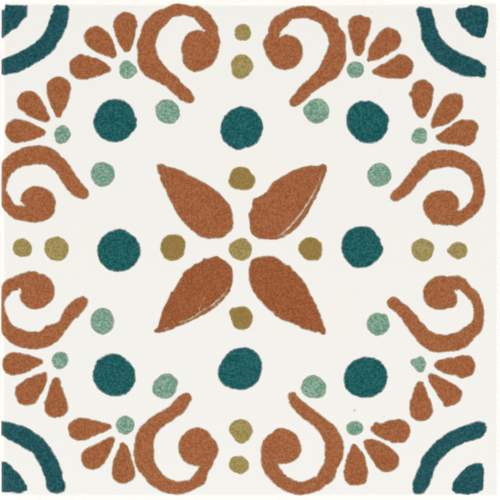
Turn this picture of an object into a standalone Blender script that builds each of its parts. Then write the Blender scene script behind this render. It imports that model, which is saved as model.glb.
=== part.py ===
"""Square hand-made ceramic wall tile, decorated face up. Metres, +Z up.

The tile is pressed and fired in one piece, so it is one solid. It lies on its back, with the origin
at the middle of the back face, +X to the right and +Y to the top of the decorated face.
"""

import math

import bmesh
import bpy
from mathutils import Vector

MM = 0.001

# Driving sizes of the fired tile
TILE_SIDE = 105 * MM
TILE_THICKNESS = 7 * MM
CORNER_RADIUS = 1.2 * MM  # seen from above
FACE_ROLL = 1.0 * MM  # round over which the glaze runs down from the face to the sides
BACK_ARRIS = 0.5 * MM  # small broken edge round the back
SIDE_DRAFT = 0.3 * MM  # the back is this much smaller on each side, so that it leaves the mould

# How far the middle of each side stands out from the straight line between its corners.
# The side at the top of the face dried a little hollow.
SIDE_BOW = {
    "right": 0.05 * MM,
    "top": -0.40 * MM,
    "left": 0.00 * MM,
    "bottom": 0.05 * MM,
}

SIDE_STEPS = 16
CORNER_STEPS = 5
FACE_ROLL_STEPS = 5
BACK_ARRIS_STEPS = 2

# Fired colours, as linear RGB
WHITE_GLAZE = (0.88, 0.85, 0.80)
GLAZE_ROUGHNESS = 0.35


def clear_scene():
    for old in list(bpy.data.objects):
        bpy.data.objects.remove(old, do_unlink=True)


def glaze_material():
    """Tin-white glaze, which covers the face and gives the tile its colour."""
    material = bpy.data.materials.new("white_glaze")
    material.use_nodes = True
    shader = material.node_tree.nodes["Principled BSDF"]
    shader.inputs["Base Color"].default_value = (*WHITE_GLAZE, 1.0)
    shader.inputs["Roughness"].default_value = GLAZE_ROUGHNESS
    shader.inputs["Metallic"].default_value = 0.0
    return material


def side_points(bow, inset):
    """One side and the corner after it, as if the side were the right-hand one, from bottom to top."""
    half = TILE_SIDE / 2 - inset
    reach = half - CORNER_RADIUS
    points = []
    for step in range(SIDE_STEPS):
        along = 2 * step / SIDE_STEPS - 1
        points.append(Vector((half + bow * (1 - along**2), along * reach)))
    for step in range(CORNER_STEPS):
        angle = math.pi / 2 * step / CORNER_STEPS
        corner = Vector((reach, reach))
        points.append(corner + CORNER_RADIUS * Vector((math.cos(angle), math.sin(angle))))
    return points


def outline(inset):
    """The tile's outline, anticlockwise from above, with each side bowed as it dried."""
    points = []
    for quarter, bow in enumerate(SIDE_BOW.values()):
        turn = math.pi / 2 * quarter
        for point in side_points(bow, inset):
            x = point.x * math.cos(turn) - point.y * math.sin(turn)
            y = point.x * math.sin(turn) + point.y * math.cos(turn)
            points.append(Vector((x, y)))
    return points


def ring(mesh, inset, height):
    """A closed ring of edges on the outline at this height."""
    verts = [mesh.verts.new((point.x, point.y, height)) for point in outline(inset)]
    edges = []
    for index, vert in enumerate(verts):
        edges.append(mesh.edges.new((vert, verts[(index + 1) % len(verts)])))
    return verts, edges


def round_ring(mesh, edges, width, steps):
    bmesh.ops.bevel(
        mesh,
        geom=edges,
        offset=width,
        offset_type="OFFSET",
        segments=steps,
        profile=0.5,
        affect="EDGES",
        clamp_overlap=True,
    )


def build_tile():
    mesh = bmesh.new()
    back_verts, back_edges = ring(mesh, SIDE_DRAFT, 0.0)
    face_verts, face_edges = ring(mesh, 0.0, TILE_THICKNESS)
    bmesh.ops.bridge_loops(mesh, edges=back_edges + face_edges)
    mesh.faces.new(face_verts)
    mesh.faces.new(list(reversed(back_verts)))
    bmesh.ops.recalc_face_normals(mesh, faces=mesh.faces)
    round_ring(mesh, face_edges, FACE_ROLL, FACE_ROLL_STEPS)
    back_edges = [
        edge
        for edge in mesh.edges
        if all(abs(vert.co.z) < 1e-7 for vert in edge.verts)
    ]
    round_ring(mesh, back_edges, BACK_ARRIS, BACK_ARRIS_STEPS)

    data = bpy.data.meshes.new("tile")
    mesh.to_mesh(data)
    mesh.free()
    data.materials.append(glaze_material())
    data.shade_smooth()
    data.set_sharp_from_angle(angle=math.radians(40))
    tile = bpy.data.objects.new("tile", data)
    bpy.context.scene.collection.objects.link(tile)
    return tile


def main():
    clear_scene()
    build_tile()


main()
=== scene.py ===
"""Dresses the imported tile: white glaze over fired clay, painted ornament, floor, light and camera.

The ornament is set out in millimetres from the middle of the centre star, as a painter would
measure it. A brush stroke is a list of stations (x, y, half the width of the mark there), joined by
a smooth curve, and a dab is one station by itself. Strokes and dabs that touch run together.
"""

import math

import bpy
import numpy as np
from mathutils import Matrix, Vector
from mathutils.geometry import delaunay_2d_cdt


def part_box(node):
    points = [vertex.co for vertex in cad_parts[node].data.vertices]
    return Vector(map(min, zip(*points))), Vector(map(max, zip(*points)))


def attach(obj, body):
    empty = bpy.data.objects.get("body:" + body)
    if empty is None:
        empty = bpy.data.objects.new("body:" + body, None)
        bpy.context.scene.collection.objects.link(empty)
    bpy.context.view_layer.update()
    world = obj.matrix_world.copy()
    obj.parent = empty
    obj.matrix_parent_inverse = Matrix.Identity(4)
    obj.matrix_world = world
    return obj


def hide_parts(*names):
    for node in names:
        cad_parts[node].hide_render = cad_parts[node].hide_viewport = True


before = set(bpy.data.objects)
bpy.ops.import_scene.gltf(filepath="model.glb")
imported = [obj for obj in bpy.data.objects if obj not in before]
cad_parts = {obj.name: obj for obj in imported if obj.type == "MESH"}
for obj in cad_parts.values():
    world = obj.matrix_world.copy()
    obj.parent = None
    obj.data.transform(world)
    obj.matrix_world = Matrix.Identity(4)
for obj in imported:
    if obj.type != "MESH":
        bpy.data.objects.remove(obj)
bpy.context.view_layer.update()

MM = 0.001

# The tile in millimetres, as its solid is made
TILE_LOW, TILE_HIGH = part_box("tile")
SIDE_BOW = {"left": 0.0, "right": 0.05, "bottom": 0.05, "top": -0.40}
HALF_SIDE = (TILE_HIGH.x - TILE_LOW.x) / MM / 2 - (SIDE_BOW["left"] + SIDE_BOW["right"]) / 2
THICKNESS = TILE_HIGH.z / MM
FACE_ROLL = 1.0
BACK_ARRIS = 0.5
SIDE_DRAFT = 0.3
SHARP_ANGLE = 50

# Where the middle of the star lies on the face; the painter set it out a little left of centre
STAR_X = -2.15
STAR_Y = 0.2

# The coats
BISCUIT_INSET = 0.16  # the bare clay stands this far inside the glaze that covers it
PAINT_PROUD = 0.075
PAINT_SUNK = 0.035
PAINT_ROOT = 2.5 * PAINT_SUNK  # how deep in the glaze a mark's underside lies
PAINT_SHOULDER = 0.6  # width over which a mark rises from its edge to its full height
PAINT_SPREAD = 0.065  # how far the paint ran out in the fire from where the brush left it
PAINT_BLEED = 0.3  # how far a mark's thin edge stains the glaze past its outline
STROKE_MELT = 0.35  # width of the crease that fills where wet strokes touch
TOP_MELT = 0.3
PATCH_ROUNDING = 0.35
PATCH_SPREAD = 0.04

# Layers of roughness: how high they are, how wide their lumps, and their seed
FACE_WAVES = ((0.035, 17, 3), (0.006, 6, 4))
HAND_WOBBLE = ((0.08, 1.2, 11), (0.07, 0.6, 12))
PAINT_POOLS = ((0.012, 1.6, 21), (0.006, 0.7, 22))
GLAZE_LINE = ((0.45, 9, 31), (0.2, 3, 32))

NOISE_CELLS = 64  # the roughness repeats after this many lumps
FAR = 1e3


# Seeded roughness

def smoothstep(low, high, value):
    share = np.clip((value - low) / (high - low), 0, 1)
    return share * share * (3 - 2 * share)


def lumps(u, v, size, seed):
    """Smooth noise from -1 to 1, with lumps about `size` mm across."""
    n = NOISE_CELLS
    table = np.random.RandomState(seed).uniform(-1, 1, (n, n))
    x = np.asarray(u) / size + 10 * n
    y = np.asarray(v) / size + 10 * n
    i = np.floor(x).astype(int)
    j = np.floor(y).astype(int)
    x = smoothstep(0, 1, x - i)
    y = smoothstep(0, 1, y - j)
    near = table[i % n, j % n] * (1 - x) + table[(i + 1) % n, j % n] * x
    far = table[i % n, (j + 1) % n] * (1 - x) + table[(i + 1) % n, (j + 1) % n] * x
    return near * (1 - y) + far * y


def layered(u, v, layers):
    """Layers of lumps added up, in mm."""
    return sum(height * lumps(u, v, size, seed) for height, size, seed in layers)


# The tile's surface, as a sheet that is laid flat on the face and wraps over its edges

def flat_edges(u, v, inset):
    """The ends of the flat face beside (u, v): left, right, bottom and top."""
    beside_v = 1 - np.clip(v / HALF_SIDE, -1, 1) ** 2
    beside_u = 1 - np.clip(u / HALF_SIDE, -1, 1) ** 2
    reach = HALF_SIDE - inset
    return (
        -reach - SIDE_BOW["left"] * beside_v,
        reach + SIDE_BOW["right"] * beside_v,
        -reach - SIDE_BOW["bottom"] * beside_u,
        reach + SIDE_BOW["top"] * beside_u,
    )


def wrapped(u, v, lift, roll, inset):
    """Plan position, drop below the flat, and lean of the surface, for points of the sheet."""
    left, right, bottom, top = flat_edges(u, v, inset)
    edge_u = np.clip(u, left, right)
    edge_v = np.clip(v, bottom, top)
    past = np.hypot(u - edge_u, v - edge_v)
    out_u = (u - edge_u) / np.maximum(past, 1e-9)
    out_v = (v - edge_v) / np.maximum(past, 1e-9)
    lean = np.minimum(past / roll, math.pi / 2)
    drop = roll * (1 - np.cos(lean)) + np.maximum(past - roll * math.pi / 2, 0)
    spread = (roll + lift) * np.sin(lean)
    return edge_u, edge_v, out_u, out_v, spread, drop, lean


def on_face(u, v, lift=0.0):
    """Places in metres for points of the face's sheet, `lift` mm above the glaze."""
    u = np.asarray(u, float)
    v = np.asarray(v, float)
    lift = lift + layered(u, v, FACE_WAVES)
    edge_u, edge_v, out_u, out_v, spread, drop, lean = wrapped(u, v, lift, FACE_ROLL, FACE_ROLL)
    height = THICKNESS - drop
    spread = spread - SIDE_DRAFT * drop / THICKNESS * np.sin(lean)
    return np.stack(
        [edge_u + out_u * spread, edge_v + out_v * spread, height + lift * np.cos(lean)], axis=-1
    ) * MM


def on_back(u, v, lift=0.0):
    """Places in metres for points of the back's sheet, `lift` mm outside the clay."""
    u = np.asarray(u, float)
    v = np.asarray(v, float)
    edge_u, edge_v, out_u, out_v, spread, rise, lean = wrapped(
        u, v, lift, BACK_ARRIS, BACK_ARRIS + SIDE_DRAFT
    )
    spread = spread + SIDE_DRAFT * rise / THICKNESS * np.sin(lean)
    return np.stack(
        [edge_u + out_u * spread, edge_v + out_v * spread, rise - lift * np.cos(lean)], axis=-1
    ) * MM


class Sheet:
    """A grid over the flat of the face or back, with a rim whose rings wrap over the edge."""

    CORNER_TURNS = 7

    def __init__(self, cells, inset):
        share = np.linspace(-1, 1, cells + 1)
        self.cells = cells
        across, up = np.meshgrid(share, share, indexing="ij")
        left, right, bottom, top = flat_edges(across * HALF_SIDE, up * HALF_SIDE, inset)
        self.u = (left + (right - left) * (across + 1) / 2).ravel()
        self.v = (bottom + (top - bottom) * (up + 1) / 2).ravel()
        self.rim, self.turns = self.walk_rim()

    def index(self, i, j):
        return i * (self.cells + 1) + j

    def walk_rim(self):
        """The grid's border, anticlockwise, with the way outwards; a corner turns in steps."""
        n = self.cells
        starts = [(0, 0, 1, 0), (n, 0, 0, 1), (n, n, -1, 0), (0, n, 0, -1)]
        rim = []
        turns = []
        for side, (i, j, di, dj) in enumerate(starts):
            outward = math.pi / 2 * (side - 1)
            for step in range(1, n):
                rim.append(self.index(i + di * step, j + dj * step))
                turns.append(outward)
            for turn in range(self.CORNER_TURNS):
                rim.append(self.index(i + di * n, j + dj * n))
                turns.append(outward + math.pi / 2 * turn / (self.CORNER_TURNS - 1))
        return np.array(rim), np.array(turns)

    def grid_faces(self):
        faces = []
        for i in range(self.cells):
            for j in range(self.cells):
                corners = [(i, j), (i + 1, j), (i + 1, j + 1), (i, j + 1)]
                faces.append(tuple(self.index(*corner) for corner in corners))
        return faces

    def ring(self, past):
        """Sheet coordinates of a ring that lies `past` mm beyond the flat."""
        return (
            self.u[self.rim] + np.cos(self.turns) * past,
            self.v[self.rim] + np.sin(self.turns) * past,
        )


def lofted(rings):
    """Faces between the grid's rim and the rings beyond it, and the cap on the last ring."""
    faces = []
    for inner, outer in zip(rings, rings[1:]):
        count = len(outer)
        for k in range(count):
            m = (k + 1) % count
            corners = [inner[k], outer[k], outer[m], inner[m]]
            if inner[k] == inner[m]:
                corners.pop()
            faces.append(tuple(corners))
    faces.append(tuple(rings[-1]))
    return faces


def new_piece(name, points, faces, material, attributes=None):
    """A smooth-shaded mesh object that rides with the tile."""
    mesh = bpy.data.meshes.new(name)
    mesh.from_pydata([tuple(point) for point in points], [], faces)
    for key, values in (attributes or {}).items():
        layer = mesh.attributes.new(key, "FLOAT", "POINT")
        layer.data.foreach_set("value", np.asarray(values, np.float32))
    mesh.materials.append(material)
    mesh.shade_smooth()
    mesh.set_sharp_from_angle(angle=math.radians(SHARP_ANGLE))
    piece = bpy.data.objects.new(name, mesh)
    bpy.context.scene.collection.objects.link(piece)
    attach(piece, "root")
    return piece


def closed_sheet(name, sheet, place, grid_lift, rings, material, flip):
    """A closed body: the grid, the rings round it and a flat cap inside."""
    points = [place(sheet.u, sheet.v, grid_lift)]
    order = [list(sheet.rim)]
    start = len(sheet.u)
    for past, lift in rings:
        u, v = sheet.ring(past)
        points.append(place(u, v, lift))
        order.append(list(range(start, start + len(u))))
        start += len(u)
    faces = sheet.grid_faces() + lofted(order)
    if flip:
        faces = [tuple(reversed(face)) for face in faces]
    return new_piece(name, np.concatenate(points), faces, material)


# Painted marks

class Mark:
    """One painted shape: strokes and dabs that run together, or a patch with corners.

    `tint` from 0 to 1 shifts its colour between its enamel's two mixes, `bare` holds strokes where
    the white glaze shows through, and the brush stopped short at `top`.
    """

    def __init__(self, *parts, patch=None, bare=(), tint=None, top=FAR):
        self.strokes = [smooth_stroke(part) if isinstance(part, list) else [part] for part in parts]
        self.patch = patch
        self.bare = [smooth_stroke(stroke) for stroke in bare]
        self.tint = tint
        self.top = top

    def edge_distance(self, x, y):
        """Distance to the mark's outline in mm, negative inside it."""
        reach = np.full(np.shape(x), FAR)
        for stroke in self.strokes:
            reach = melted(reach, stroke_distance(x, y, stroke), STROKE_MELT)
        if self.patch:
            reach = melted(reach, patch_distance(x, y, self.patch), STROKE_MELT)
        reach = -melted(-reach, self.top - y, TOP_MELT)
        reach = reach - PAINT_SPREAD + layered(x, y, HAND_WOBBLE)
        for stroke in self.bare:
            reach = np.maximum(reach, -stroke_distance(x, y, stroke))
        return reach

    def frame(self):
        """The box that holds the mark: left, bottom, right, top."""
        points = [(x - r, y - r) for stroke in self.strokes for x, y, r in stroke]
        points += [(x + r, y + r) for stroke in self.strokes for x, y, r in stroke]
        points += list(self.patch or [])
        points = np.array(points)
        return (*(points.min(axis=0) - 1), *(points.max(axis=0) + 1))


def curve_between(before, start, end, after, t):
    """A smooth curve from start to end that heeds the stations on both sides."""
    bend = 2 * before - 5 * start + 4 * end - after
    twist = 3 * start - before - 3 * end + after
    return 0.5 * (2 * start + (end - before) * t + bend * t**2 + twist * t**3)


def smooth_stroke(stations):
    """The stroke's stations, filled in every half millimetre or so with a smooth curve."""
    if len(stations) < 3:
        return [tuple(station) for station in stations]
    points = np.array(stations, float)
    padded = np.concatenate([[2 * points[0] - points[1]], points, [2 * points[-1] - points[-2]]])
    filled = []
    for before, start, end, after in zip(padded, padded[1:], padded[2:], padded[3:]):
        steps = max(2, round(math.dist(start[:2], end[:2]) / 0.5))
        for step in range(steps):
            filled.append(tuple(curve_between(before, start, end, after, step / steps)))
    filled.append(tuple(points[-1]))
    return filled


def stroke_distance(x, y, stroke):
    """Distance to a stroke's edge: between stations it is a tapering round-ended mark."""
    if len(stroke) == 1:
        centre_x, centre_y, half = stroke[0]
        return np.hypot(x - centre_x, y - centre_y) - half
    nearest = np.full(np.shape(x), FAR)
    for (ax, ay, a_half), (bx, by, b_half) in zip(stroke, stroke[1:]):
        run_x = bx - ax
        run_y = by - ay
        along = ((x - ax) * run_x + (y - ay) * run_y) / (run_x**2 + run_y**2)
        along = np.clip(along, 0, 1)
        apart = np.hypot(x - ax - along * run_x, y - ay - along * run_y)
        nearest = np.minimum(nearest, apart - a_half - along * (b_half - a_half))
    return nearest


def enclosed(x, y, outline):
    """Whether points lie within a closed outline."""
    inside = np.zeros(np.shape(x), bool)
    for (ax, ay), (bx, by) in zip(outline, np.roll(outline, -1, axis=0)):
        if ay != by:
            crosses = (ay > y) != (by > y)
            inside ^= crosses & (x < ax + (bx - ax) * (y - ay) / (by - ay))
    return inside


def patch_distance(x, y, corners):
    """Distance to the edge of a patch, negative inside it; it draws in a little past the edge."""
    nearest = np.full(np.shape(x), FAR)
    for start, end in zip(corners, corners[1:] + corners[:1]):
        nearest = np.minimum(nearest, stroke_distance(x, y, [(*start, 0), (*end, 0)]))
    signed = np.where(enclosed(x, y, corners), -nearest, nearest)
    drawn_in = smoothstep(-PATCH_ROUNDING, PATCH_ROUNDING, signed)
    return signed + 0.25 * PATCH_ROUNDING * drawn_in - PATCH_SPREAD


def melted(a, b, width):
    """The nearer of two distances, with the crease between them filled as wet paint fills it."""
    share = np.clip(0.5 + 0.5 * (b - a) / width, 0, 1)
    return b * (1 - share) + a * share - width * share * (1 - share)


def outlines_at(field, xs, ys, level):
    """Closed outlines where the field crosses a level, each a list of points."""
    inside = field < level
    cells = inside[:-1, :-1].astype(int) + inside[1:, :-1] + inside[1:, 1:] + inside[:-1, 1:]
    places = {}
    links = {}
    for i, j in np.argwhere((cells > 0) & (cells < 4)):
        k = i + 1
        m = j + 1
        sides = [(i, j, k, j), (k, j, k, m), (i, m, k, m), (i, j, i, m)]
        crossed = [side for side in sides if inside[side[:2]] != inside[side[2:]]]
        if len(crossed) == 4:
            middle = field[i : i + 2, j : j + 2].mean() < level
            if middle != inside[i, j]:
                crossed = [crossed[0], crossed[3], crossed[1], crossed[2]]
        for side in crossed:
            a, b = field[side[:2]], field[side[2:]]
            share = (level - a) / (b - a)
            places[side] = (
                xs[side[0]] + share * (xs[side[2]] - xs[side[0]]),
                ys[side[1]] + share * (ys[side[3]] - ys[side[1]]),
            )
        for a, b in zip(crossed[::2], crossed[1::2]):
            links.setdefault(a, []).append(b)
            links.setdefault(b, []).append(a)
    outlines = []
    waiting = dict.fromkeys(links)
    while waiting:
        at = next(iter(waiting))
        outline = []
        while at is not None:
            del waiting[at]
            outline.append(places[at])
            at = next((side for side in links[at] if side in waiting), None)
        outlines.append(outline)
    return outlines


def evenly(outline, step):
    """The closed outline with its points evenly spaced, or nothing if it is a mere fleck."""
    points = np.array(outline + outline[:1])
    along = np.concatenate([[0], np.cumsum(np.hypot(*np.diff(points, axis=0).T))])
    if along[-1] < 4 * step:
        return np.empty((0, 2))
    count = max(8, round(along[-1] / step))
    at = np.linspace(0, along[-1], count, endpoint=False)
    return np.stack([np.interp(at, along, points[:, 0]), np.interp(at, along, points[:, 1])], axis=1)


def within(x, y, outlines):
    """Whether points lie within the outlines and out of their holes."""
    inside = np.zeros(len(x), bool)
    for outline in outlines:
        inside ^= enclosed(x, y, outline)
    return inside


# Rings of a mark's surface, as distances in from its outline, and the spacing of its points
RING_DEPTHS = (-PAINT_BLEED, -0.1, 0.05, 0.22, 0.45)
RING_STEP = 0.28
FIELD_STEP = 0.17
INNER_STEP = 0.9
ROLL_STEP = 0.3
ROLL_MARGIN = 0.4  # the fine spacing begins this far before the flat ends
INNER_CLEAR = 0.4  # the share of a step that the inner points keep from the last ring
GRID_SHIFT = (0.37, 0.21)  # sets the inner points off the field's own rows


def inner_points(mark, left, bottom, right, top):
    """Points for the middle of a mark, closer together where it bends over the tile's edge."""
    chosen = []
    for step in (INNER_STEP, ROLL_STEP):
        xs = np.arange(left, right, step)
        ys = np.arange(bottom, top, step)
        grid = np.meshgrid(xs + step * GRID_SHIFT[0], ys + step * GRID_SHIFT[1])
        x, y = (part.ravel() for part in grid)
        flat_left, flat_right, flat_bottom, flat_top = flat_edges(x + STAR_X, y + STAR_Y, FACE_ROLL)
        past = np.maximum(
            np.maximum(flat_left - x - STAR_X, x + STAR_X - flat_right),
            np.maximum(flat_bottom - y - STAR_Y, y + STAR_Y - flat_top),
        )
        wanted = past > -ROLL_MARGIN if step == ROLL_STEP else past <= -ROLL_MARGIN
        wanted &= mark.edge_distance(x, y) < -RING_DEPTHS[-1] - step * INNER_CLEAR
        chosen.append(np.stack([x[wanted], y[wanted]], axis=1))
    return np.concatenate(chosen)


def mark_mesh(mark):
    """Points on the star's plan, faces and depths in from the edge, for one mark."""
    left, bottom, right, top = mark.frame()
    xs = np.arange(left, right + FIELD_STEP, FIELD_STEP)
    ys = np.arange(bottom, top + FIELD_STEP, FIELD_STEP)
    field = mark.edge_distance(*np.meshgrid(xs, ys, indexing="ij"))
    rings = []
    border = []
    for depth in RING_DEPTHS:
        found = [evenly(outline, RING_STEP) for outline in outlines_at(field, xs, ys, -depth)]
        found = [outline for outline in found if len(outline)]
        rings += found
        border = border or found
    points = []
    edges = []
    for ring in rings:
        start = len(points)
        points += [Vector(point) for point in ring]
        edges += [(start + k, start + (k + 1) % len(ring)) for k in range(len(ring))]
    for stroke in mark.bare:
        start = len(points)
        points += [Vector(station[:2]) for station in stroke]
        edges += [(k, k + 1) for k in range(start, len(points) - 1)]
    points += [Vector(point) for point in inner_points(mark, left, bottom, right, top)]
    filled, _, faces, _, _, _ = delaunay_2d_cdt(points, edges, [], 0, 1e-5)
    plan = np.array([tuple(point) for point in filled])
    middles = np.array([plan[list(face)].mean(axis=0) for face in faces])
    kept = within(middles[:, 0], middles[:, 1], border)
    faces = [tuple(face) for face, keep in zip(faces, kept) if keep]
    used = sorted({index for face in faces for index in face})
    renamed = {old: new for new, old in enumerate(used)}
    plan = plan[used]
    faces = [tuple(renamed[index] for index in face) for face in faces]
    depths = PAINT_BLEED - mark.edge_distance(plan[:, 0], plan[:, 1])
    return plan, faces, np.maximum(depths, 0)


def border_edges(faces):
    """Edges that only one face uses, in that face's direction."""
    edges = {}
    for face in faces:
        for a, b in zip(face, face[1:] + face[:1]):
            if (b, a) in edges:
                del edges[(b, a)]
            else:
                edges[(a, b)] = None
    return list(edges)


def painted(name, marks, material, tint=0.5, proud=PAINT_PROUD):
    """All marks of one enamel as closed, low-domed skins, sunk into the glaze at their edges."""
    points = []
    faces = []
    depths = []
    tints = []
    start = 0
    for mark in marks:
        plan, skin, depth = mark_mesh(mark)
        u = plan[:, 0] + STAR_X
        v = plan[:, 1] + STAR_Y
        rise = smoothstep(0, PAINT_SHOULDER, depth)
        pooled = layered(u, v, PAINT_POOLS)
        count = len(plan)
        points += [on_face(u, v, -PAINT_SUNK + (PAINT_SUNK + proud + pooled) * rise)]
        points += [on_face(u, v, -PAINT_ROOT)]
        faces += [tuple(start + index for index in face) for face in skin]
        faces += [tuple(start + count + index for index in reversed(face)) for face in skin]
        for a, b in border_edges(skin):
            faces.append((start + b, start + a, start + count + a, start + count + b))
        depths += [depth, depth * 0]
        tints += [np.full(2 * count, tint if mark.tint is None else mark.tint)]
        start += 2 * count
    return new_piece(
        name,
        np.concatenate(points),
        faces,
        material,
        {"depth": np.concatenate(depths), "tint": np.concatenate(tints)},
    )


# The ornament

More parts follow.
